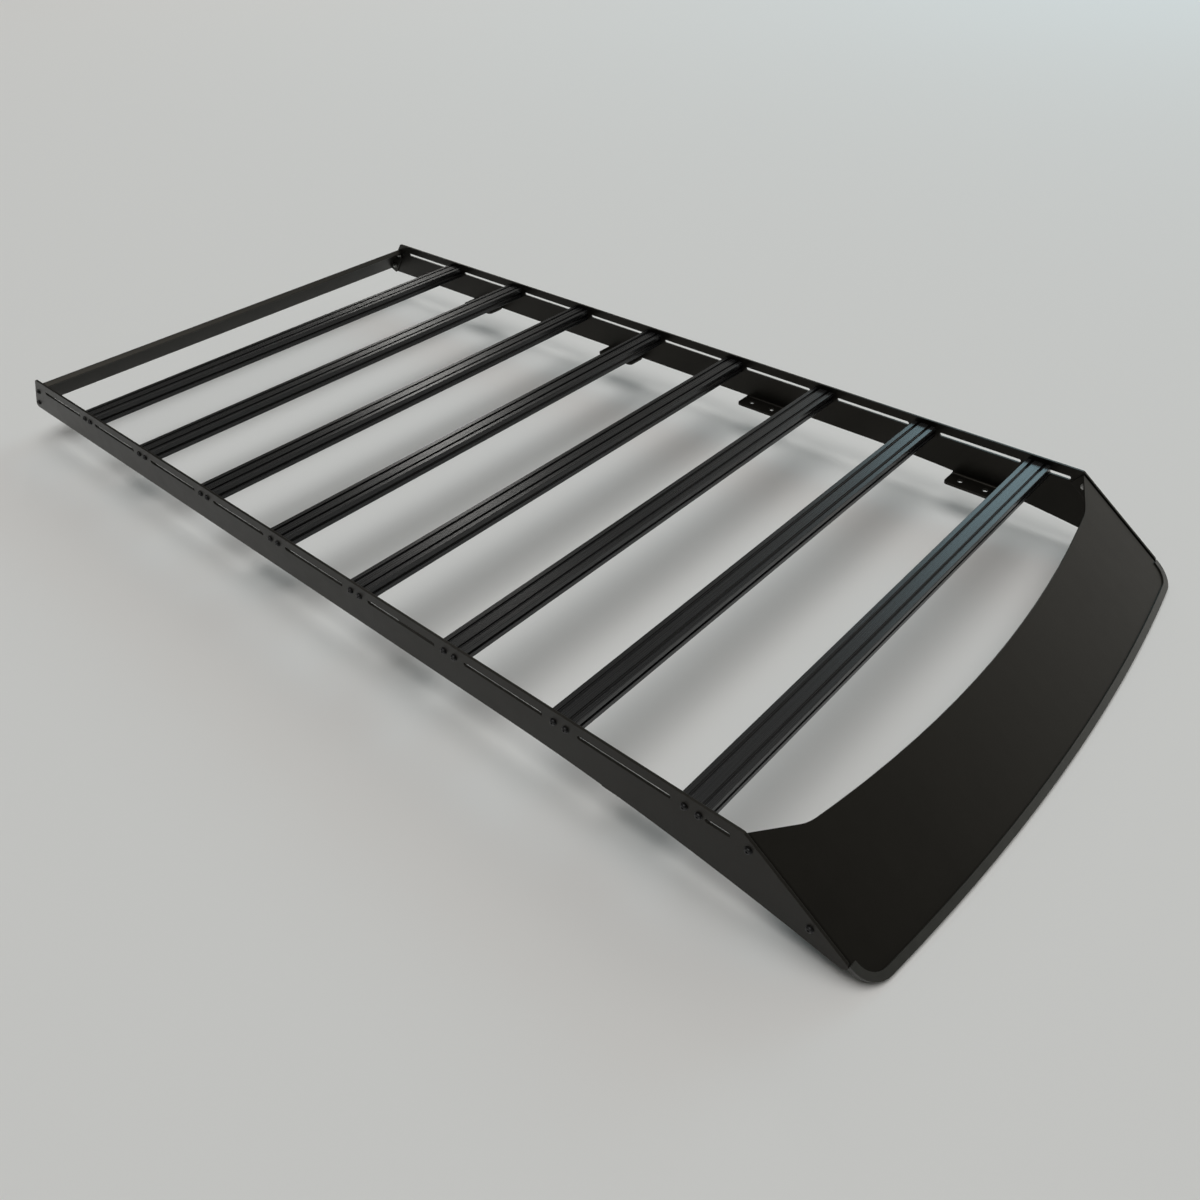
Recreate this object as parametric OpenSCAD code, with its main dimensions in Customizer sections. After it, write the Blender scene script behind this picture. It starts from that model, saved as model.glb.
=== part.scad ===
// Full-length roof rack: two folded side plates, eight slotted crossbars,
// a rolled wind fairing with a rubber edge seal, and a folded rear panel.
// Units are millimetres. +Z is up and -Y is the driving direction.
// The origin is under the middle of the rack, level with its lowest edge.

/* [Rack] */
// Distance from one crossbar to the next
bar_pitch = 254; // [230:2:280]
// Width over the outer faces of the side plates
rack_w = 1160; // [1000:10:1300]

/* [Side plates] */
// Sheet thickness of the side plates
plate_t = 4.8; // [4:0.2:6]
// Depth from the top edge to the straight bottom edge
plate_h = 92; // [84:1:110]
// Top edge in front of the foremost crossbar
front_reach = 87; // [75:1:110]
// Top edge behind the rearmost crossbar
rear_reach = 256; // [245:1:300]
// Lean of the front edge from the vertical
front_rake = 53.1; // [48:0.1:56]
// Lean of the rear edge from the vertical
rear_rake = 37.1; // [30:0.1:45]
// Straight bottom edge ends this far behind the foremost crossbar, and falls from there to the nose
nose_from = 378; // [240:1:480]
// Radius of the roof line under the nose
nose_r = 3600; // [3000:50:5000]
// Rounding of the corners of the plates
plate_corner_r = 7; // [4:1:12]
// Rounding of the tip of the nose
nose_tip_r = 9; // [9:1:12]

/* [Tie-down slots] */
// Length of a slot between two crossbars
slot_len = 181; // [120:1:184]
// Length of the short slot at the nose
nose_slot_len = 44; // [30:1:48]
// Height of a slot
slot_h = 8; // [6:0.5:12]
// Depth of the line of slots and bolts under the top edge
line_drop = 23.5; // [20:0.5:34]

/* [Crossbars] */
// Width of the crossbar section
bar_w = 50.8; // [48:0.2:54]
// Height of the crossbar section
bar_h = 25.4; // [24:0.2:30]
// Mouth of the channels
channel_mouth = 6.5; // [6:0.1:8]
// Width of the channels behind the mouth
channel_w = 14.6; // [12:0.1:15]
// Depth of the channels
channel_d = 5.8; // [5:0.1:6]
// Thickness of the lips beside the mouth
channel_lip = 2.2; // [1.8:0.1:2.6]
// Diameter of the tapped bores in the ends
core_d = 5.2; // [4:0.1:6]
// Thickness of the webs round the hollow in the middle of the section
web_t = 2.2; // [1.8:0.1:2.6]
// Clearance holes for the end bolts
bolt_hole_d = 6.8; // [6:0.1:8]

/* [Mounting tabs] */
// Length of a mounting tab
tab_len = 115; // [100:1:130]
// Width of a tab, from the inner face of the plate
tab_w = 46; // [38:1:56]
// Drop of the tab's underside below the plate's bottom edge
tab_drop = 5; // [4.8:0.1:8]
// Outer bend radius of the tabs
tab_bend_r = 9; // [7:0.5:12]
// Diameter of the tab's two holes
tab_hole_d = 12; // [8:0.5:13]
// Spacing of the tab's two holes
tab_hole_gap = 57; // [45:1:70]

/* [Wind fairing] */
// Sheet thickness of the fairing and the rear panel
sheet_t = 3; // [2:0.1:4]
// Rise of the rolled fairing at its middle
crown = 22; // [14:1:30]
// Length of the fairing's middle, down its slope
fairing_len = 298; // [280:1:320]
// Depth of the notch in the top edge at the middle
notch_d = 98; // [85:1:110]
// Rise of the notch's arc from the middle to its corners
notch_sag = 43; // [30:1:50]
// Distance of the notch's corners from the fairing's sides
notch_in = 88; // [70:1:120]
// Rounding of the lower corners
fairing_corner_r = 45; // [30:1:60]
// Width of the side flanges
flange_w = 32; // [28:1:35]
// Outer bend radius of the sheet
bend_r = 5; // [4.5:0.5:7]
// Set-back of the fairing from the plates' front edge
fairing_inset = 2; // [1:0.5:4]
// Gap between folded sheets and the side plates
fit_gap = 0.3; // [0.1:0.1:0.6]

/* [Edge seal] */
// Thickness of the rubber on each side of the sheet
seal_t = 2.5; // [2:0.5:4]
// Rubber beyond the sheet's edge
seal_out = 3; // [2:0.5:5]
// Grip of the seal over the sheet
seal_in = 10; // [8:1:14]

/* [Rear panel] */
// Start of the rear panel below the top edge, down the slope
panel_start = 19; // [14:1:22]
// Length of the rear panel's face, down the slope
panel_len = 86; // [78:1:90]
// Width of the flange along the panel's top
panel_flange = 16; // [12:1:24]
// Width of the panel's side ears
ear_w = 26; // [22:1:32]
// Set-back of the panel from the plates' rear edge
panel_inset = 2; // [1:0.5:4]

/* [Hidden] */
$fn = 48;
bar_count = 8;

plate_black = [0.055, 0.057, 0.06];
bar_black = [0.11, 0.115, 0.12];
seal_black = [0.03, 0.03, 0.032];

// Stations along the rack, counted from the middle of the crossbars.
front_bar_y = -(bar_count - 1) * bar_pitch / 2;
rear_bar_y = -front_bar_y;
plate_front_y = front_bar_y - front_reach;
plate_rear_y = rear_bar_y + rear_reach;
function bar_y(k) = front_bar_y + (k - 1) * bar_pitch;

// A polygon from corners [x, y, radius]; each radius is drawn as an arc.
function unit(v) = v / norm(v);
function fillet(a, b, c, r, n) =
    let (u = unit(a - b), v = unit(c - b), h = acos(u * v) / 2,
        m = b + unit(u + v) * r / sin(h),
        p = b + u * r / tan(h) - m, q = b + v * r / tan(h) - m,
        t0 = atan2(p[1], p[0]), dt = atan2(q[1], q[0]) - t0,
        turn = dt > 180 ? dt - 360 : dt < -180 ? dt + 360 : dt)
    [for (i = [0:n]) m + r * [cos(t0 + turn * i / n), sin(t0 + turn * i / n)]];
function xy(p) = [p[0], p[1]];
function rounded(c, n = 6) = [for (i = [0:len(c) - 1])
    each (c[i][2] > 0
        ? fillet(xy(c[(i + len(c) - 1) % len(c)]), xy(c[i]), xy(c[(i + 1) % len(c)]), c[i][2], n)
        : [xy(c[i])])];
function arc(m, r, a0, a1, n) = [for (i = [0:n])
    let (a = a0 + (a1 - a0) * i / n) m + r * [cos(a), sin(a)]];

// Side plate: the bottom edge is straight, then falls with the roof line to the nose.
nose_start_y = front_bar_y + nose_from;
function roof_drop(y) = y > nose_start_y ? 0 : nose_r - sqrt(pow(nose_r, 2) - pow(nose_start_y - y, 2));
function front_edge_y(z) = plate_front_y + z * tan(front_rake);
nose_guess = plate_h + roof_drop(plate_front_y - plate_h * tan(front_rake));
nose_z = -(plate_h + roof_drop(front_edge_y(-nose_guess)));
nose_y = front_edge_y(nose_z);
rear_bottom_y = plate_rear_y + plate_h * tan(rear_rake);
nose_steps = 12;
plate_outline = rounded(concat(
    [[plate_front_y, 0, plate_corner_r], [nose_y, nose_z, nose_tip_r]],
    [for (i = [1:nose_steps]) let (y = nose_y + (nose_start_y - nose_y) * i / nose_steps)
        [y, -plate_h - roof_drop(y), 0]],
    [[rear_bottom_y, -plate_h, plate_corner_r], [plate_rear_y, 0, plate_corner_r]]));

// Four tabs on each plate: front, mid front, mid rear and rear.
tab_y = [for (f = [-0.436, -0.13, 0.126, 0.428]) f * (bar_count - 1) * bar_pitch];
function tab_z(y) = -plate_h - roof_drop(y) - tab_drop;

// Slots: one behind each crossbar and a short one at the nose.
slot_y = [for (k = [1:bar_count]) bar_y(k) + bar_pitch / 2];
nose_slot_over = 2;
nose_slot_y = front_bar_y - bar_w / 2 - nose_slot_len / 2 + nose_slot_over;

// Wind fairing, worked in x, s (down the slope) and m (inwards from the plates' front edge).
half_w = rack_w / 2 - plate_t - fit_gap;
roll_r = (pow(half_w, 2) + pow(crown, 2)) / (2 * crown);
edge_sag = crown * tan(front_rake);
edge_r = (pow(half_w, 2) + pow(edge_sag, 2)) / (2 * edge_sag);
corner_x = half_w - fairing_corner_r;
corner_s = fairing_len - edge_r + sqrt(pow(edge_r - fairing_corner_r, 2) - pow(corner_x, 2));
corner_a = atan2(corner_s - (fairing_len - edge_r), corner_x);
notch_x = half_w - notch_in;
notch_r = (pow(notch_x, 2) + pow(notch_sag, 2)) / (2 * notch_sag);
notch_a = asin(notch_x / notch_r);
fairing_top = 3;
tip_s = -nose_z / cos(front_rake);
fairing_hole_s = [25, 157];
fairing_hole_m = 17;
wedge_a = 90 - front_rake - asin((nose_start_y - nose_y) / nose_r);
nose_cover = 3;
// Where a line nose_cover inside the nose's lower edge lies, m behind the fairing's face.
function wedge_s(m) = tip_s - (m + fairing_inset) / tan(wedge_a) - nose_cover / sin(wedge_a);

// Lower edge, grown by g: lower corner, long level arc, other lower corner.
function lower_edge(g) = concat(
    arc([corner_x, corner_s], fairing_corner_r + g, 0, corner_a, 8),
    [for (i = [1:15]) let (a = corner_a + (180 - 2 * corner_a) * i / 16)
        [0, fairing_len - edge_r] + (edge_r + g) * [cos(a), sin(a)]],
    arc([-corner_x, corner_s], fairing_corner_r + g, 180 - corner_a, 180, 8));
function notch_arc() = [for (i = [1:15])
    let (a = -notch_a + 2 * notch_a * i / 16)
    [notch_r * sin(a), notch_d - notch_r + notch_r * cos(a)]];
fairing_outline = concat(
    lower_edge(0),
    [[-half_w, fairing_top]],
    fillet([-half_w, fairing_top], [-notch_x, notch_d - notch_sag], notch_arc()[0], 90, 6),
    notch_arc(),
    fillet(notch_arc()[14], [notch_x, notch_d - notch_sag], [half_w, fairing_top], 90, 6),
    [[half_w, fairing_top]]);

// Height of the top edge above the rack's lowest edge, and the shift to its middle.
seal_low_s = fairing_len + seal_out;
top_z = seal_low_s * cos(front_rake) + (fairing_inset - crown + sheet_t + seal_t) * sin(front_rake);
front_y = plate_front_y - seal_low_s * sin(front_rake)
    - (crown + seal_t - fairing_inset) * cos(front_rake);
rear_y = max([for (p = plate_outline) p[0]]);
shift_y = -(front_y + rear_y) / 2;

module placed() { translate([0, shift_y, top_z]) children(); }

// Turns an outline drawn in y and z into a sheet of thickness t that starts at x.
module sheet_yz(x, t) { translate([x, 0, 0]) rotate([90, 0, 90]) linear_extrude(t) children(); }

module slot_shape(l) {
    square([l - slot_h, slot_h], center = true);
    for (s = [-1, 1]) translate([s * (l - slot_h) / 2, 0]) circle(d = slot_h);
}

// Side plate at +X, with its tabs bent inwards along the bottom edge.
module side_plate() {
    inner_x = rack_w / 2 - plate_t;
    difference() {
        union() {
            sheet_yz(inner_x, plate_t) polygon(plate_outline);
            for (y = tab_y) tab(y);
        }
        translate([inner_x - 1, 0, -line_drop]) {
            for (y = slot_y) translate([0, y, 0]) sheet_yz(0, plate_t + 2) slot_shape(slot_len);
            translate([0, nose_slot_y, 0]) sheet_yz(0, plate_t + 2) slot_shape(nose_slot_len);
            for (k = [1:bar_count], s = [-1, 1]) translate([0, bar_y(k) + s * bar_w / 4, 0])
                rotate([0, 90, 0]) cylinder(d = bolt_hole_d, h = plate_t + 2);
        }
        fairing_place() for (s = fairing_hole_s) translate([inner_x - 1, s, fairing_hole_m])
            rotate([0, 90, 0]) cylinder(d = bolt_hole_d, h = plate_t + 2);
        panel_place() for (s = ear_hole_s) translate([inner_x - 1, s, ear_hole_m])
            rotate([0, 90, 0]) cylinder(d = bolt_hole_d, h = plate_t + 2);
        for (y = tab_y, s = [-1, 1])
            translate([inner_x - tab_w / 2, y + s * tab_hole_gap / 2, tab_z(y) - 1])
                cylinder(d = tab_hole_d, h = plate_t + 2);
    }
}

// One tab: the sheet runs down from the plate, bends and lies level.
module tab(y) {
    x1 = rack_w / 2;
    x0 = x1 - plate_t - tab_w;
    z0 = tab_z(y);
    foot_r = tab_bend_r - plate_t;
    section = concat(
        [[x1, z0 + tab_bend_r + tab_drop + 6]],
        arc([x1 - tab_bend_r, z0 + tab_bend_r], tab_bend_r, 0, -90, 6),
        [[x0, z0], [x0, z0 + plate_t]],
        arc([x1 - tab_bend_r, z0 + tab_bend_r], foot_r, -90, 0, 6),
        [[x1 - plate_t, z0 + tab_bend_r + tab_drop + 6]]);
    intersection() {
        translate([0, y + tab_len / 2, 0]) rotate([90, 0, 0]) linear_extrude(tab_len) polygon(section);
        translate([0, 0, z0 - 1]) linear_extrude(tab_bend_r + tab_drop + 8)
            polygon(rounded([[x0, y - tab_len / 2, 10], [x1 + 1, y - tab_len / 2, 0],
                [x1 + 1, y + tab_len / 2, 0], [x0, y + tab_len / 2, 10]]));
    }
}

// Crossbar section: four channels in the wide faces, one in each narrow face, a hollow middle.
module channel() {
    polygon([[-channel_mouth / 2, 1], [-channel_mouth / 2, -channel_lip],
        [-channel_w / 2, -channel_lip], [-channel_w / 2, -channel_lip - 1],
        [-channel_mouth / 2, -channel_d], [channel_mouth / 2, -channel_d],
        [channel_w / 2, -channel_lip - 1], [channel_w / 2, -channel_lip],
        [channel_mouth / 2, -channel_lip], [channel_mouth / 2, 1]]);
}

module bar_section() {
    top_x = bar_w / 4 - channel_w / 2 - web_t;
    mid_x = bar_w / 4 - core_d / 2 - web_t;
    cap_z = bar_h / 2 - web_t;
    step_z = bar_h / 2 - channel_lip - 1 - web_t / 2;
    mid_z = bar_h / 2 - channel_d - web_t / 2;
    difference() {
        polygon(rounded([[-bar_w / 2, -bar_h / 2, 1], [bar_w / 2, -bar_h / 2, 1],
            [bar_w / 2, bar_h / 2, 1], [-bar_w / 2, bar_h / 2, 1]], 3));
        for (s = [-1, 1]) {
            for (u = [-1, 1]) translate([u * bar_w / 4, s * bar_h / 2]) rotate(s > 0 ? 0 : 180) channel();
            translate([s * bar_w / 2, 0]) rotate(-s * 90) channel();
            translate([s * bar_w / 4, 0]) circle(d = core_d);
        }
        for (s = [-1, 1]) polygon([[-top_x, s * cap_z], [top_x, s * cap_z], [top_x, s * step_z],
            [mid_x, s * mid_z], [mid_x, -s], [-mid_x, -s], [-mid_x, s * mid_z], [-top_x, s * step_z]]);
    }
}

module crossbar(k) {
    l = rack_w - 2 * plate_t;
    color(bar_black) placed() translate([-l / 2, bar_y(k), -line_drop])
        rotate([90, 0, 90]) linear_extrude(l) bar_section();
}

// Fairing space to rack space: s runs down the front slope and m runs inwards.
module fairing_place() { translate([0, plate_front_y, 0]) rotate([-(90 + front_rake), 0, 0]) children(); }

// Closed section of a rolled sheet between the offsets a and b of its outer face.
function roll_line(o, x) = let (r = roll_r - o, a = asin(x / r)) [for (i = [0:24])
    let (t = -a + 2 * a * i / 24) [r * sin(t), roll_r - crown - r * cos(t)]];
function reversed(v) = [for (i = [len(v) - 1:-1:0]) v[i]];

// Folded section: side flange, bend, rolled face, bend, side flange.
function fold_line(o) =
    let (mb = roll_r - crown - sqrt(pow(roll_r - bend_r, 2) - pow(half_w - bend_r, 2)),
        a = atan2(mb - (roll_r - crown), half_w - bend_r))
    concat([[half_w - o, flange_w]],
        arc([half_w - bend_r, mb], bend_r - o, 0, a, 5),
        [for (i = [1:23]) let (t = a + (-180 - 2 * a) * i / 24)
            [0, roll_r - crown] + (roll_r - o) * [cos(t), sin(t)]],
        arc([-half_w + bend_r, mb], bend_r - o, -180 - a, -180, 5),
        [[-half_w + o, flange_w]]);

module down_slope(l) { translate([0, l, 0]) rotate([90, 0, 0]) linear_extrude(l) children(); }

module fairing_sheet() {
    difference() {
        intersection() {
            down_slope(fairing_len + 20) polygon(concat(fold_line(0), reversed(fold_line(sheet_t))));
            translate([0, 0, -crown - 10]) linear_extrude(crown + flange_w + 20) polygon(fairing_outline);
        }
        for (side = [-1, 1]) {
            // The flange tapers with the nose of the side plate.
            translate([side * (half_w - sheet_t / 2) - sheet_t, 0, 0]) rotate([90, 0, 90])
                linear_extrude(2 * sheet_t) polygon([
                    [wedge_s(flange_w + 1), flange_w + 1], [wedge_s(sheet_t + 1), sheet_t + 1],
                    [fairing_len + 30, sheet_t + 1], [fairing_len + 30, flange_w + 1]]);
            for (s = fairing_hole_s) translate([side * half_w - 5, s, fairing_hole_m - fairing_inset])
                rotate([0, 90, 0]) cylinder(d = bolt_hole_d, h = 10);
        }
    }
}

module wind_fairing() {
    color(plate_black) placed() fairing_place() translate([0, 0, fairing_inset]) fairing_sheet();
}

// Rubber channel over the lower edge and around the lower corners.
module fairing_edge_seal() {
    color(seal_black) placed() fairing_place() translate([0, 0, fairing_inset]) difference() {
        intersection() {
            down_slope(fairing_len + 20)
                polygon(concat(roll_line(-seal_t, half_w + seal_out + 1),
                    reversed(roll_line(sheet_t + seal_t, half_w + seal_out + 1))));
            translate([0, 0, -crown - 10]) linear_extrude(crown + 40)
                polygon(concat(lower_edge(seal_out), reversed(lower_edge(-seal_in))));
        }
        fairing_sheet();
    }
}

// Rear panel, worked down the rear slope and inwards from the plates' rear edge.
ear_hole_s = [32, 81];
ear_hole_m = 14;
module panel_place() {
    translate([0, plate_rear_y, 0]) mirror([0, 1, 0]) rotate([-(90 + rear_rake), 0, 0]) children();
}

module rear_panel() {
    s0 = panel_start;
    s1 = panel_start + panel_len;
    m0 = panel_inset;
    in_r = bend_r - sheet_t;
    section = concat([[s1, m0]],
        arc([s0 + bend_r, m0 + bend_r], bend_r, -90, -180, 5),
        [[s0, m0 + panel_flange], [s0 + sheet_t, m0 + panel_flange]],
        arc([s0 + bend_r, m0 + bend_r], in_r, -180, -90, 5),
        [[s1, m0 + sheet_t]]);
    color(plate_black) placed() panel_place() difference() {
        union() {
            translate([-half_w, 0, 0]) rotate([90, 0, 90]) linear_extrude(2 * half_w) polygon(section);
            for (side = [-1, 1]) translate([side * (half_w - sheet_t / 2) - sheet_t / 2, 0, 0])
                rotate([90, 0, 90]) linear_extrude(sheet_t) polygon(rounded([
                    [s0 + bend_r + 3, m0 + 1, 0], [s1, m0 + 1, 0],
                    [s1 - 6, m0 + ear_w, 6], [s0 + bend_r + 3, m0 + ear_w, 6]]));
        }
        for (side = [-1, 1], s = ear_hole_s) translate([side * half_w - 5, s, ear_hole_m])
            rotate([0, 90, 0]) cylinder(d = bolt_hole_d, h = 10);
    }
}

module side_plate_left() { color(plate_black) placed() side_plate(); }
module side_plate_right() { color(plate_black) placed() mirror([1, 0, 0]) side_plate(); }

side_plate_right();
side_plate_left();
crossbar(1);  // crossbar_1
crossbar(2);  // crossbar_2
crossbar(3);  // crossbar_3
crossbar(4);  // crossbar_4
crossbar(5);  // crossbar_5
crossbar(6);  // crossbar_6
crossbar(7);  // crossbar_7
crossbar(8);  // crossbar_8
wind_fairing();
fairing_edge_seal();
rear_panel();
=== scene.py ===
import bpy
import bmesh
import math
from mathutils import Matrix, Quaternion, Vector


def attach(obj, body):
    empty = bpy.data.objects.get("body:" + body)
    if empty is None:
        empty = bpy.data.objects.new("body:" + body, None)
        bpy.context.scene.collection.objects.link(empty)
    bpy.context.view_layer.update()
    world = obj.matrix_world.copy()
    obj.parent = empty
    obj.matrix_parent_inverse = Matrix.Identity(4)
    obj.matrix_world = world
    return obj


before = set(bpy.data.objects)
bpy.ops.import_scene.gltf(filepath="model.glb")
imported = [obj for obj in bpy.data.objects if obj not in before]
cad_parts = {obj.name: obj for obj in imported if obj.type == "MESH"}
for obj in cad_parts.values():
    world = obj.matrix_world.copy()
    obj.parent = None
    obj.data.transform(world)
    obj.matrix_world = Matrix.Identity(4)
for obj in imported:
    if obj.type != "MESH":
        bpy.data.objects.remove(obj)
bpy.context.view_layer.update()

scene = bpy.context.scene

# The rack's CAD model gets its materials here, its screws, nuts and seal ends, and a studio.
# All sizes are in metres. In their names R is a radius, T a thickness, H a height, W a width,
# FLATS the size of a hexagon over its flats and BREAK that of a chamfer.

# Sizes of the rack, repeated from the part's own values. SHIFT_Y and TOP_Z lead from the
# design frame, whose zero height is the plates' top edge, to the part's frame.
SHIFT_Y = 0.0113678
TOP_Z = 0.169131
HALF_W = 0.58
PLATE_T = 0.0048
SHEET_T = 0.003
GAP = 0.0003
FIRST_BAR_Y = -0.889
PITCH = 0.254
BAR_COUNT = 8
BARS_Y = [FIRST_BAR_Y + PITCH * k + SHIFT_Y for k in range(BAR_COUNT)]
BAR_DROP = 0.0235
BAR_Z = TOP_Z - BAR_DROP
PLATE_FRONT_Y = -0.976 + SHIFT_Y
PLATE_REAR_Y = 1.145 + SHIFT_Y
FRONT_RAKE = math.radians(53.1)
REAR_RAKE = math.radians(37.1)

# Bolt places: along Y from the middle of a crossbar, and for the fairing and the rear panel
# the way down the plate's raked edge and the way in from it.
BAR_BOLTS = (-0.0127, 0.0127)
FAIRING_BOLTS = ((0.025, 0.017), (0.157, 0.017))
PANEL_BOLTS = ((0.032, 0.014), (0.081, 0.014))

# Turns in radians from one fastener to the next, so that neighbours don't line up.
TURN_PER_BAR = 0.7
TURN_PER_BAR_BOLT = 1.9
TURN_PER_SCREW = 1.3
TURN_PER_NUT = 0.9

# Button-head screws on washers. BAR_SHANK is how far a crossbar's screw reaches into the
# plate, whose hole it ends in.
SHANK_R = 0.0030
BAR_SHANK = 0.0040
WASHER_T = 0.0012
WASHER_BREAK = 0.0002
SCREW_WASHER_R = 0.0066
HEAD_R = 0.0056
HEAD_RIM = 0.0006
DOME_H = 0.0027
DOME_STEPS = 5
DOME_TURN = 0.96 * math.pi / 2
SOCKET_FLATS = 0.0040
SOCKET_WALL = 0.97 * SOCKET_FLATS
SOCKET_BREAK = 0.0003
SOCKET_DEPTH = 0.0021
SOCKET_TIP = 0.0026
LIP_R = 1.12 * SOCKET_FLATS / math.sqrt(3)

# Nylon-lock nuts on washers, with the screw's end standing out of them.
NUT_WASHER_R = 0.0064
NUT_FLATS = 0.010
NUT_H = 0.0060
NUT_HEX_H = 0.72 * NUT_H
NUT_BREAK = 0.0006
NUT_BREAK_R = 0.0051
COLLAR_R = 0.0043
COLLAR_TOP_R = 0.0038
END_H = 0.0012
END_TIP_H = 0.0016
END_TIP_R = 0.0026

RING_SIDES = 36
WASHER_SIDES = 32
SHARP_ANGLE = math.radians(35.0)

# The edge seal is carried on by SEAL_END at its two end faces, which are those within
# SEAL_END_ZONE of the sides whose normals point up the slope, give or take this cosine.
SEAL_END = 0.0036
SEAL_END_ZONE = 0.02
SEAL_END_COSINE = 0.999
WELD = 1e-6

# The photograph's camera, fitted to the plates' corners, the bolts and the slots. Its place is
# in the design frame, and its azimuth, elevation and roll are in degrees.
PHOTO_W_PX = 1200.0
FOCAL_PX = 999.485
SENSOR_W = 36.0
CAMERA_CLIP = (0.05, 60.0)
CAMERA_PLACE = (-1.306118, -1.416319, 1.08919)
CAMERA_ANGLES = (-46.69, 39.216, -2.486)

FLOOR_SIZE = 30.0

# Glows of the studio room: direction, strength, and colours at two cosines to that direction.
SIDE_WALL = ((0.951, -0.168, 0.259), 1.0,
             ((0.58, (0.085, 0.083, 0.077)), (0.97, (0.68, 0.670, 0.630))))
CEILING = ((0.0, 0.0, 1.0), 2.25,
           ((0.82, (0.0, 0.0, 0.0)), (0.95, (1.0, 0.99, 0.97))))


def rack_point(x, y, z):
    """A point of the design frame, whose height counts from the plates' top edge."""
    return Vector((x, y + SHIFT_Y, z + TOP_Z))


def make_camera():
    """A camera at the photograph's angle and distance."""
    cam_data = bpy.data.cameras.new("camera")
    cam_data.sensor_width = SENSOR_W
    cam_data.lens = FOCAL_PX * SENSOR_W / PHOTO_W_PX
    cam_data.clip_start, cam_data.clip_end = CAMERA_CLIP
    cam = bpy.data.objects.new("camera", cam_data)
    scene.collection.objects.link(cam)
    a, e, roll = (math.radians(v) for v in CAMERA_ANGLES)
    back = Vector((math.sin(a) * math.cos(e), -math.cos(a) * math.cos(e), math.sin(e)))
    right = Vector((math.cos(a), math.sin(a), 0.0))
    up = back.cross(right)
    right, up = (right * math.cos(roll) + up * math.sin(roll),
                 up * math.cos(roll) - right * math.sin(roll))
    turn = Matrix((right, up, back)).transposed().to_4x4()
    cam.matrix_world = Matrix.Translation(rack_point(*CAMERA_PLACE)) @ turn
    scene.camera = cam


class Nodes:
    """A node material in the making, with one short call for each kind of node used here."""
    # The mix node's sockets for colours, by number because other kinds share their names.
    MIX_FACTOR, MIX_A, MIX_B, MIX_RESULT = 0, 6, 7, 2
    # Cosines between the broken normal and the true one, on a full edge and on the flat.
    ON_EDGE, ON_FLAT = 0.80, 0.97
    EDGE_SAMPLES = 6

    def __init__(self, name):
        self.mat = bpy.data.materials.new(name)
        self.mat.use_nodes = True
        self.tree = self.mat.node_tree
        self.bsdf = self.tree.nodes["Principled BSDF"]
        self.coords = self.tree.nodes.new("ShaderNodeTexCoord").outputs["Object"]

    def put(self, socket, value):
        """Gives a socket a number, a colour or another node's output."""
        if isinstance(value, float):
            socket.default_value = value
        elif isinstance(value, tuple):
            socket.default_value = (*value, 1.0)
        else:
            self.tree.links.new(value, socket)

    def feed(self, name, value):
        """Does the same for a socket of the material's own shader."""
        self.put(self.bsdf.inputs[name], value)

    def mapped(self, scale):
        """Object coordinates with a scale of their own along each axis."""
        n = self.tree.nodes.new("ShaderNodeMapping")
        n.inputs["Scale"].default_value = scale
        self.put(n.inputs["Vector"], self.coords)
        return n.outputs["Vector"]

    def noise(self, scale, detail, rough, vector=None):
        n = self.tree.nodes.new("ShaderNodeTexNoise")
        self.put(n.inputs["Scale"], scale)
        self.put(n.inputs["Detail"], detail)
        self.put(n.inputs["Roughness"], rough)
        self.put(n.inputs["Vector"], self.coords if vector is None else vector)
        return n.outputs["Fac"]

    def ramp(self, value, stops):
        """Runs from stop to stop of the value, each a position with a colour or a grey level."""
        n = self.tree.nodes.new("ShaderNodeValToRGB")
        elements = n.color_ramp.elements
        while len(elements) < len(stops):
            elements.new(0.5)
        for element, (position, level) in zip(elements, stops):
            element.position = position
            element.color = (*(level if isinstance(level, tuple) else (level,) * 3), 1.0)
        self.put(n.inputs["Fac"], value)
        return n.outputs["Color"]

    def calc(self, operation, a, b):
        n = self.tree.nodes.new("ShaderNodeMath")
        n.operation = operation
        self.put(n.inputs[0], a)
        self.put(n.inputs[1], b)
        return n.outputs["Value"]

    def scaled(self, value, factor, base):
        return self.calc("ADD", self.calc("MULTIPLY", value, factor), base)

    def mix(self, factor, a, b):
        n = self.tree.nodes.new("ShaderNodeMix")
        n.data_type = "RGBA"
        self.put(n.inputs[self.MIX_FACTOR], factor)
        self.put(n.inputs[self.MIX_A], a)
        self.put(n.inputs[self.MIX_B], b)
        return n.outputs[self.MIX_RESULT]

    def soft_edges(self, radius):
        """Normals as if the sharp edges were broken by this radius."""
        n = self.tree.nodes.new("ShaderNodeBevel")
        n.samples = self.EDGE_SAMPLES
        self.put(n.inputs["Radius"], radius)
        return n.outputs["Normal"]

    def edge_mask(self, soft):
        """1 along the edges that soft_edges breaks, fading to 0 on the flat; it places the
        painted edge highlights.
        """
        dot = self.tree.nodes.new("ShaderNodeVectorMath")
        dot.operation = "DOT_PRODUCT"
        geometry = self.tree.nodes.new("ShaderNodeNewGeometry")
        self.put(dot.inputs[0], geometry.outputs["Normal"])
        self.put(dot.inputs[1], soft)
        return self.ramp(dot.outputs["Value"], [(self.ON_EDGE, 1.0), (self.ON_FLAT, 0.0)])

    def bump(self, height, distance, strength, below=None):
        """Normals that follow this height, on top of the normals below."""
        n = self.tree.nodes.new("ShaderNodeBump")
        self.put(n.inputs["Distance"], distance)
        self.put(n.inputs["Strength"], strength)
        self.put(n.inputs["Height"], height)
        if below is not None:
            self.put(n.inputs["Normal"], below)
        return n.outputs["Normal"]


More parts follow.
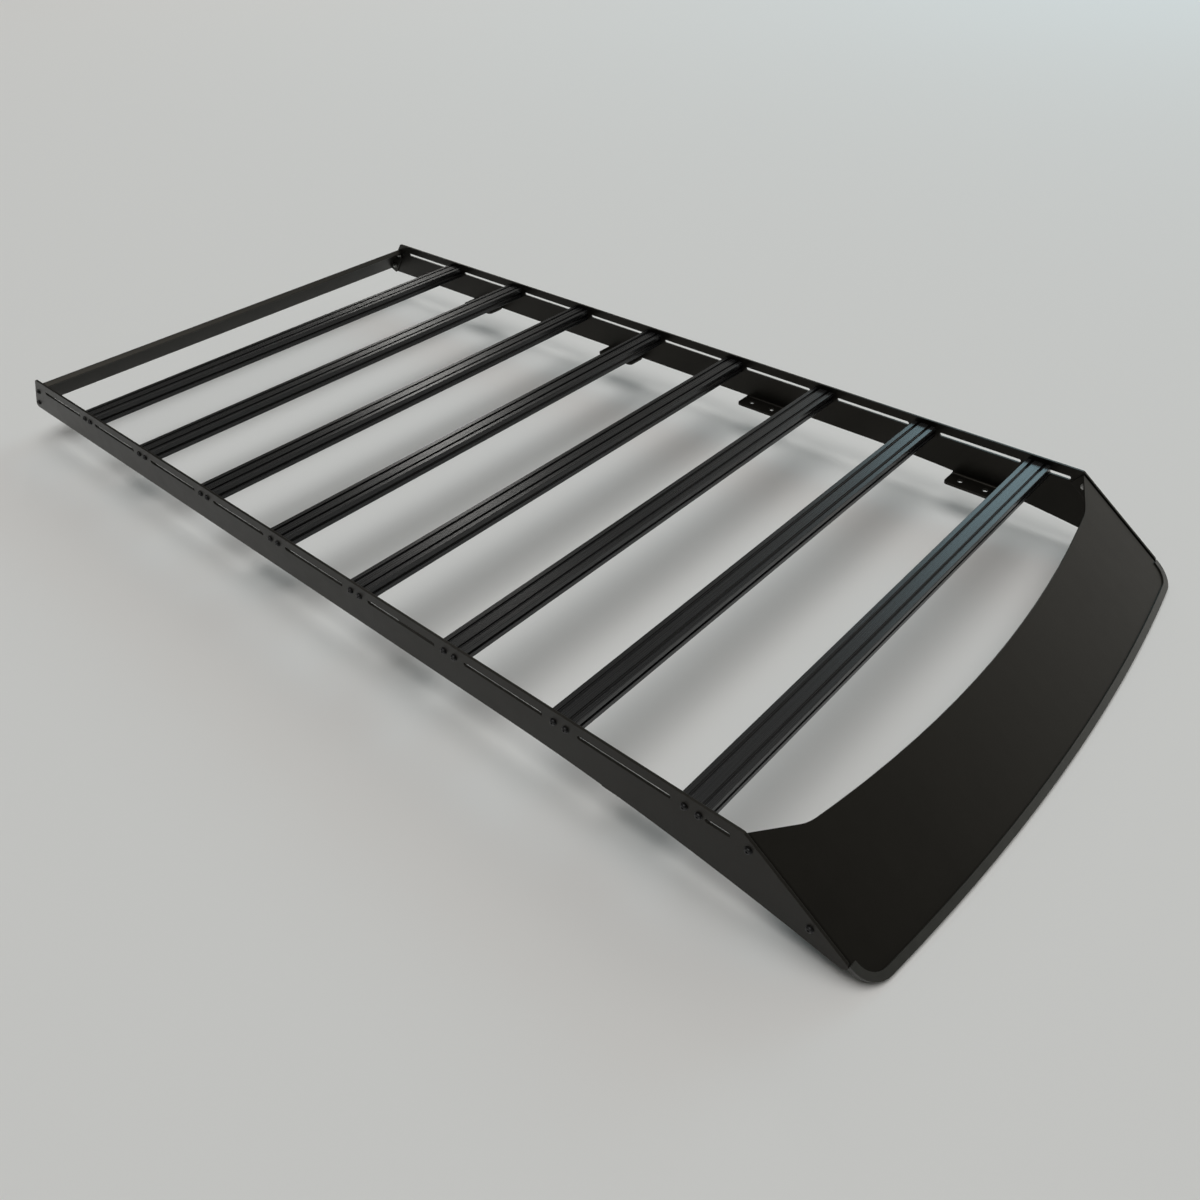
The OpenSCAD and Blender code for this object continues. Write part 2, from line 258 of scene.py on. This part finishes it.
def powder_coat():
    """Satin black powder coat: fine orange peel, faint clouds, specks of dust all over, and a
    painted highlight along the edges, stronger in blotches."""
    dark, light = (0.0058, 0.0054, 0.0046), (0.0080, 0.0074, 0.0062)
    dust, edge_highlight = (0.0160, 0.0152, 0.0134), (0.075, 0.074, 0.068)
    m = Nodes("powder_coat_black")
    clouds = m.noise(7.0, detail=4.0, rough=0.6)
    specks = m.noise(2600.0, detail=1.0, rough=0.5)
    blotches = m.noise(26.0, detail=5.0, rough=0.65)
    peel = m.noise(320.0, detail=2.0, rough=0.5)
    grain = m.noise(900.0, detail=2.0, rough=0.6)
    soft = m.soft_edges(0.0011)
    tone = m.ramp(clouds, [(0.25, dark), (0.75, light)])
    tone = m.mix(m.ramp(specks, [(0.62, 0.0), (0.74, 0.55)]), tone, dust)
    # Painted highlight: the edges are lightened as if their rounding caught the light, more in
    # some blotches than others.
    edge_highlight_amount = m.calc("MULTIPLY", m.edge_mask(soft), m.ramp(blotches, [(0.30, 0.45), (0.70, 0.90)]))
    m.feed("Base Color", m.mix(edge_highlight_amount, tone, edge_highlight))
    m.feed("Roughness", m.scaled(blotches, 0.12, 0.29))
    m.feed("Specular IOR Level", 0.27)
    m.feed("Specular Tint", (1.0, 0.94, 0.83))
    low = m.bump(peel, distance=0.00012, strength=0.5, below=soft)
    m.feed("Normal", m.bump(grain, distance=0.00006, strength=0.6, below=low))
    return m.mat


def extrusion_black():
    """Black anodised extrusion: lengthwise die lines and scuffs, a sharper sheen than the
    powder coat's, and a painted highlight along the edges."""
    dark, light = (0.0095, 0.0097, 0.0100), (0.0140, 0.0143, 0.0148)
    scuffed, edge_highlight = (0.026, 0.0268, 0.0280), (0.040, 0.042, 0.045)
    m = Nodes("anodised_extrusion_black")
    lines = m.noise(1.0, detail=3.0, rough=0.6, vector=m.mapped((1.6, 1500.0, 1500.0)))
    bands = m.noise(1.0, detail=3.0, rough=0.55, vector=m.mapped((3.0, 260.0, 260.0)))
    scuffs = m.noise(1.0, detail=5.0, rough=0.65, vector=m.mapped((9.0, 520.0, 520.0)))
    grain = m.noise(700.0, detail=2.0, rough=0.6)
    soft = m.soft_edges(0.0006)
    tone = m.ramp(bands, [(0.3, dark), (0.7, light)])
    tone = m.mix(m.ramp(scuffs, [(0.60, 0.0), (0.76, 0.5)]), tone, scuffed)
    # Painted highlight: a light bluish colour along the edges, where the rounding would catch
    # the light.
    m.feed("Base Color", m.mix(m.calc("MULTIPLY", m.edge_mask(soft), 0.6), tone, edge_highlight))
    m.feed("Roughness", m.scaled(lines, 0.12, m.scaled(scuffs, 0.07, 0.175)))
    m.feed("Specular IOR Level", 0.52)
    low = m.bump(grain, distance=0.00001, strength=0.5, below=soft)
    m.feed("Normal", m.bump(lines, distance=0.00005, strength=0.6, below=low))
    return m.mat


def edge_rubber():
    """Semi-gloss black rubber trim with a soft, slightly uneven skin."""
    dark, light = (0.0250, 0.0255, 0.0225), (0.0330, 0.0335, 0.0295)
    m = Nodes("edge_rubber_black")
    clouds = m.noise(60.0, detail=3.0, rough=0.6)
    skin = m.noise(420.0, detail=4.0, rough=0.6)
    waves = m.noise(38.0, detail=2.0, rough=0.5)
    grain = m.noise(1200.0, detail=2.0, rough=0.6)
    m.feed("Base Color", m.ramp(clouds, [(0.3, dark), (0.7, light)]))
    m.feed("Roughness", m.scaled(skin, 0.16, 0.26))
    m.feed("Specular IOR Level", 0.6)
    low = m.bump(waves, distance=0.0006, strength=0.5)
    m.feed("Normal", m.bump(grain, distance=0.00005, strength=0.5, below=low))
    return m.mat


def plated_steel(name, metallic, patch_scale, stops, rough_span, rough_base):
    """Plated steel of the fasteners, with small patches in the colours of the stops."""
    m = Nodes(name)
    patches = m.noise(patch_scale, detail=4.0, rough=0.6)
    grain = m.noise(2400.0, detail=2.0, rough=0.6)
    m.feed("Base Color", m.ramp(patches, stops))
    m.feed("Metallic", metallic)
    m.feed("Roughness", m.scaled(patches, rough_span, rough_base))
    m.feed("Normal", m.bump(grain, distance=0.00003, strength=0.6))
    return m.mat


def black_steel():
    """Black zinc of the screws, rubbed bright in places."""
    stops = [(0.35, (0.032, 0.032, 0.033)), (0.68, (0.065, 0.065, 0.066)),
             (0.85, (0.13, 0.13, 0.13))]
    return plated_steel("black_steel_fastener", metallic=0.85, patch_scale=700.0, stops=stops,
                        rough_span=0.2, rough_base=0.28)


def zinc_steel():
    """Bright zinc of the lock nuts, dulled in patches."""
    stops = [(0.35, (0.36, 0.36, 0.35)), (0.70, (0.62, 0.62, 0.60))]
    return plated_steel("zinc_nut", metallic=0.9, patch_scale=500.0, stops=stops,
                        rough_span=0.25, rough_base=0.22)


def ring_points(r, n):
    return [(r * math.cos(2 * math.pi * i / n), r * math.sin(2 * math.pi * i / n))
            for i in range(n)]


def level_ring(r, h):
    return [(x, y, h) for x, y in ring_points(r, RING_SIDES)]


def hexagon_ring(flats, h, cap=math.inf):
    """Points round a hexagon of this size over its flats, with its corners cut at radius cap."""
    points = []
    for i in range(RING_SIDES):
        a = 2 * math.pi * i / RING_SIDES
        k = (a + math.pi / 6) % (math.pi / 3) - math.pi / 6
        d = min(flats / 2 / math.cos(k), cap)
        points.append((d * math.cos(a), d * math.sin(a), h))
    return points


def join_rings(bm, a, b):
    """Faces between two rings with the same number of vertices."""
    for i in range(len(a)):
        j = (i + 1) % len(a)
        bm.faces.new((a[i], a[j], b[j], b[i]))


def add_washer(bm, place, r):
    """A plain washer with broken edges, made from a closed section turned round the axis."""
    hole, e = SHANK_R + WASHER_BREAK, WASHER_BREAK
    section = [(hole, 0.0), (r - e, 0.0), (r, e), (r, WASHER_T - e), (r - e, WASHER_T),
               (hole, WASHER_T)]
    rings = [[bm.verts.new(place @ Vector((x, y, h))) for x, y in ring_points(q, WASHER_SIDES)]
             for q, h in section]
    for a, b in zip(rings, rings[1:] + rings[:1]):
        join_rings(bm, a, b)


def add_stack(bm, place, rings, low, high):
    """Joins rings of points to a closed solid that ends in a centre point at either height."""
    made = [[bm.verts.new(place @ Vector(p)) for p in ring] for ring in rings]
    for a, b in zip(made, made[1:]):
        join_rings(bm, a, b)
    for ring, h in ((made[0], low), (made[-1], high)):
        centre = bm.verts.new(place @ Vector((0, 0, h)))
        for i in range(len(ring)):
            bm.faces.new((ring[i], ring[(i + 1) % len(ring)], centre))


def add_button_screw(bm, place, shank, turn):
    """Button-head socket screw on a plain washer: dome, hexagon socket, and shank in the hole.
    It stands along the place's Z, with the sheet's face at zero."""
    place = place @ Matrix.Rotation(turn, 4, "Z")
    add_washer(bm, place, SCREW_WASHER_R)
    rim = WASHER_T + HEAD_RIM
    top = rim + DOME_H
    rings = [level_ring(SHANK_R, -shank), level_ring(SHANK_R, WASHER_T),
             level_ring(HEAD_R, WASHER_T), level_ring(HEAD_R, rim)]
    for k in range(1, DOME_STEPS + 1):
        t = k / DOME_STEPS * DOME_TURN
        rings.append(level_ring(LIP_R + (HEAD_R - LIP_R) * math.cos(t),
                                rim + DOME_H * math.sin(t)))
    rings += [hexagon_ring(SOCKET_FLATS, top), hexagon_ring(SOCKET_WALL, top - SOCKET_BREAK),
              hexagon_ring(SOCKET_WALL, top - SOCKET_DEPTH)]
    add_stack(bm, place, rings, -shank, top - SOCKET_TIP)


def add_lock_nut(bm, place, turn):
    """Nylon-lock nut on a washer, with chamfered corners, a collar and the screw's end."""
    place = place @ Matrix.Rotation(turn, 4, "Z")
    add_washer(bm, place, NUT_WASHER_R)
    low, high, top = WASHER_T, WASHER_T + NUT_HEX_H, WASHER_T + NUT_H
    rings = [level_ring(SHANK_R, 0.0), level_ring(SHANK_R, low),
             hexagon_ring(NUT_FLATS, low, NUT_BREAK_R),
             hexagon_ring(NUT_FLATS, low + NUT_BREAK),
             hexagon_ring(NUT_FLATS, high - NUT_BREAK),
             hexagon_ring(NUT_FLATS, high, NUT_BREAK_R),
             level_ring(COLLAR_R, high), level_ring(COLLAR_R, top - NUT_BREAK),
             level_ring(COLLAR_TOP_R, top), level_ring(SHANK_R, top),
             level_ring(SHANK_R, top + END_H), level_ring(END_TIP_R, top + END_TIP_H)]
    add_stack(bm, place, rings, 0.0, top + END_TIP_H)


def make_piece(name, bm, mat):
    """Turns the mesh in the making into a named piece of the rack."""
    bmesh.ops.recalc_face_normals(bm, faces=bm.faces)
    mesh = bpy.data.meshes.new(name)
    bm.to_mesh(mesh)
    bm.free()
    for p in mesh.polygons:
        p.use_smooth = True
    mesh.set_sharp_from_angle(angle=SHARP_ANGLE)
    mesh.materials.append(mat)
    obj = bpy.data.objects.new(name, mesh)
    scene.collection.objects.link(obj)
    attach(obj, "root")


def facing(side, x, y, z):
    """A place whose Z points along X, to the side given as 1 or -1."""
    axes = Matrix(((0, 1, 0), (0, 0, side), (side, 0, 0))).transposed().to_4x4()
    return Matrix.Translation((x, y, z)) @ axes


def raked_spots(edge_y, outward, rake, bolts):
    """Y and Z of the bolts along a raked edge that leaves the plates' top at edge_y."""
    return [(edge_y + outward * (down * math.sin(rake) - inward * math.cos(rake)),
             TOP_Z - down * math.cos(rake) - inward * math.sin(rake))
            for down, inward in bolts]


def make_fasteners(steel, zinc):
    """Screws of the crossbars, and screws and nuts of the fairing and the rear panel."""
    inner = HALF_W - PLATE_T - GAP - SHEET_T
    spots = raked_spots(PLATE_FRONT_Y, -1, FRONT_RAKE, FAIRING_BOLTS)
    spots += raked_spots(PLATE_REAR_Y, 1, REAR_RAKE, PANEL_BOLTS)
    for side, word in ((-1, "right"), (1, "left")):
        bars, ends, nuts = bmesh.new(), bmesh.new(), bmesh.new()
        for k, bar_y in enumerate(BARS_Y):
            for i, u in enumerate(BAR_BOLTS):
                place = facing(side, side * HALF_W, bar_y + u, BAR_Z)
                turn = TURN_PER_BAR * k + TURN_PER_BAR_BOLT * i
                add_button_screw(bars, place, BAR_SHANK, turn)
        for i, (y, z) in enumerate(spots):
            place = facing(side, side * HALF_W, y, z)
            add_button_screw(ends, place, HALF_W - inner, TURN_PER_SCREW * i)
            add_lock_nut(nuts, facing(-side, side * inner, y, z), TURN_PER_NUT * i)
        make_piece("crossbar_screws_" + word, bars, steel)
        make_piece("panel_screws_" + word, ends, steel)
        make_piece("panel_nuts_" + word, nuts, zinc)


def make_seal_ends(rubber):
    """Carries the two end sections of the edge seal on to the rounded tips of the plates."""
    up_slope = Vector((0.0, math.sin(FRONT_RAKE), math.cos(FRONT_RAKE)))
    bm = bmesh.new()
    bm.from_mesh(bpy.data.objects["fairing_edge_seal"].data)
    ends = {f for f in bm.faces if f.normal.dot(up_slope) > SEAL_END_COSINE
            and abs(f.calc_center_median().x) > HALF_W - SEAL_END_ZONE}
    bmesh.ops.delete(bm, geom=[f for f in bm.faces if f not in ends], context="FACES")
    bmesh.ops.remove_doubles(bm, verts=bm.verts, dist=WELD)
    made = bmesh.ops.extrude_face_region(bm, geom=bm.faces[:])["geom"]
    tops = [v for v in made if isinstance(v, bmesh.types.BMVert)]
    bmesh.ops.translate(bm, verts=tops, vec=up_slope * SEAL_END)
    make_piece("edge_seal_ends", bm, rubber)


def make_stage():
    """The plain pale floor."""
    bm = bmesh.new()
    bmesh.ops.create_grid(bm, x_segments=1, y_segments=1, size=FLOOR_SIZE)
    mesh = bpy.data.meshes.new("floor")
    bm.to_mesh(mesh)
    bm.free()
    floor = bpy.data.objects.new("floor", mesh)
    scene.collection.objects.link(floor)
    m = Nodes("floor_pale")
    m.feed("Base Color", (0.80, 0.80, 0.795))
    m.feed("Roughness", 0.85)
    m.feed("Specular IOR Level", 0.1)
    mesh.materials.append(m.mat)


def make_world():
    """Studio room: dim walls, paler on the rack's left side, and a soft light overhead."""
    world = bpy.data.worlds.new("studio")
    scene.world = world
    world.use_nodes = True
    nt = world.node_tree
    nt.nodes.clear()
    out = nt.nodes.new("ShaderNodeOutputWorld")
    both = nt.nodes.new("ShaderNodeAddShader")
    coord = nt.nodes.new("ShaderNodeTexCoord")
    for i, (direction, strength, stops) in enumerate((SIDE_WALL, CEILING)):
        dot = nt.nodes.new("ShaderNodeVectorMath")
        dot.operation = "DOT_PRODUCT"
        dot.inputs[1].default_value = direction
        ramp = nt.nodes.new("ShaderNodeValToRGB")
        ramp.color_ramp.interpolation = "EASE"
        for element, (position, colour) in zip(ramp.color_ramp.elements, stops):
            element.position, element.color = position, (*colour, 1.0)
        glow = nt.nodes.new("ShaderNodeBackground")
        glow.inputs["Strength"].default_value = strength
        nt.links.new(coord.outputs["Generated"], dot.inputs[0])
        nt.links.new(dot.outputs["Value"], ramp.inputs["Fac"])
        nt.links.new(ramp.outputs["Color"], glow.inputs["Color"])
        nt.links.new(glow.outputs["Background"], both.inputs[i])
    nt.links.new(both.outputs["Shader"], out.inputs["Surface"])


def area_lamp(name, place, target, size, power, colour, roll=0.0):
    """A rectangular lamp aimed at the target and turned about its own axis by roll."""
    data = bpy.data.lights.new(name, "AREA")
    data.shape = "RECTANGLE"
    data.size, data.size_y = size
    data.energy = power
    data.color = colour
    lamp = bpy.data.objects.new(name, data)
    lamp.location = place
    aim = Vector(target) - Vector(place)
    lamp.rotation_mode = "QUATERNION"
    lamp.rotation_quaternion = aim.to_track_quat("-Z", "Y") @ Quaternion((0, 0, 1), roll)
    scene.collection.objects.link(lamp)


make_camera()
coat, extrusion, rubber = powder_coat(), extrusion_black(), edge_rubber()
for node_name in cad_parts:
    if node_name.startswith("crossbar"):
        mat = extrusion
    elif node_name == "fairing_edge_seal":
        mat = rubber
    else:
        mat = coat
    for s in bpy.data.objects[node_name].material_slots:
        s.material = mat
make_fasteners(black_steel(), zinc_steel())
make_seal_ends(rubber)
make_stage()
make_world()
area_lamp("side_softbox", place=(9.0, 0.9, 4.8), target=(0.0, -0.3, 0.1), size=(4.4, 2.4),
          power=92.0, colour=(0.48, 0.85, 1.0))
area_lamp("back_strip", place=(7.13, 9.73, 6.75), target=(0.0, 0.1, 0.1), size=(0.8, 3.2),
          power=62.0, colour=(1.0, 0.99, 0.95), roll=math.radians(22.5))

scene.view_settings.view_transform = "Standard"
